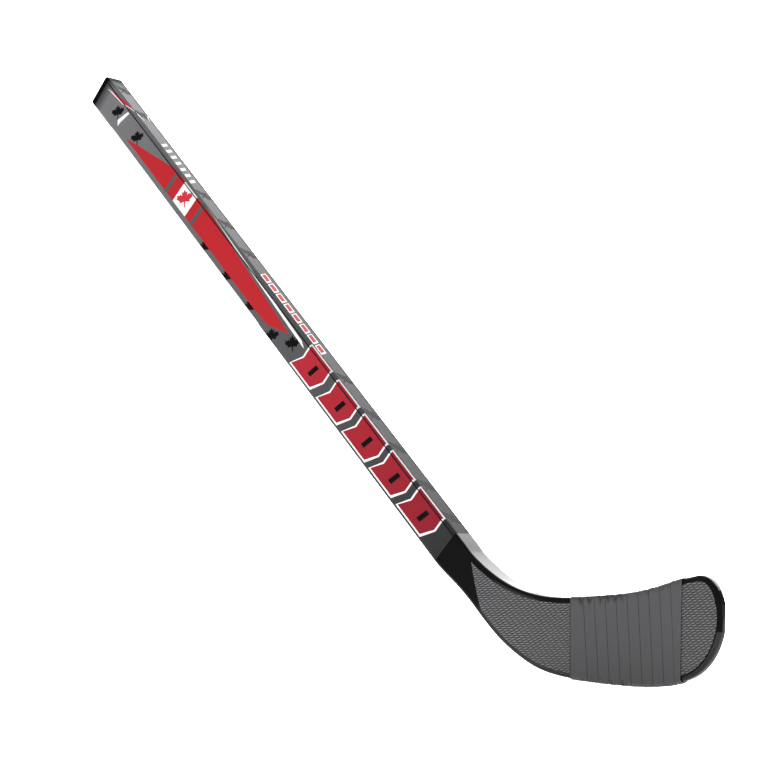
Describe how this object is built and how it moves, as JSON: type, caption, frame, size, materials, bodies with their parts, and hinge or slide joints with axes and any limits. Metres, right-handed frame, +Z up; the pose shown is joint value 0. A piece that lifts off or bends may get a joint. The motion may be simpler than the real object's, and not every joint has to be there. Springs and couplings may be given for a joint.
{
  "type": "ice hockey stick",
  "caption": "Short ice hockey stick with a rounded rectangular shaft, a slide-off butt cap and a curved, taped blade with textured faces.",
  "frame": {"origin": "on the shaft's axis in the middle of the upper hand's grip, 45 mm from the butt's end face", "axes": "+Z up with the stick in its playing position, +X from heel to toe, forehand face towards -Y; the shaft's butt points to -X and +Z at 45 degrees"},
  "size_m": [0.5117, 0.0291, 0.3939],
  "materials": {
    "printed_film": "glossy clear coat over print",
    "shaft_composite": "moulded, matt",
    "cap_plastic": "moulded, glossy",
    "tenon_composite": "moulded, matt",
    "hot_melt": "translucent, waxy",
    "clear_coated_laminate": "glossy clear coat",
    "textured_sheet": "satin with a raised weave",
    "cloth_tape": "matt woven cloth",
    "core_foam": "closed-cell foam",
    "rib_composite": "moulded, matt"
  },
  "bodies": {
    "stick": {"graphic_film": "printed_film", "shaft_tube": "shaft_composite", "blade_tenon": "tenon_composite", "tenon_adhesive": "hot_melt", "forehand_shell": "clear_coated_laminate", "backhand_shell": "clear_coated_laminate", "forehand_texture": "textured_sheet", "backhand_texture": "textured_sheet", "blade_tape": "cloth_tape", "neck_core": "core_foam", "core_lower": "core_foam", "blade_rib": "rib_composite", "core_upper": "core_foam"},
    "cap": {"butt_cap": "cap_plastic"}
  },
  "joints": [
    {"name": "cap_slide", "type": "slide", "parent": "stick", "child": "cap", "axis": [-0.7071, 0, 0.7071], "range_m": [0, 0.026]}
  ]
}
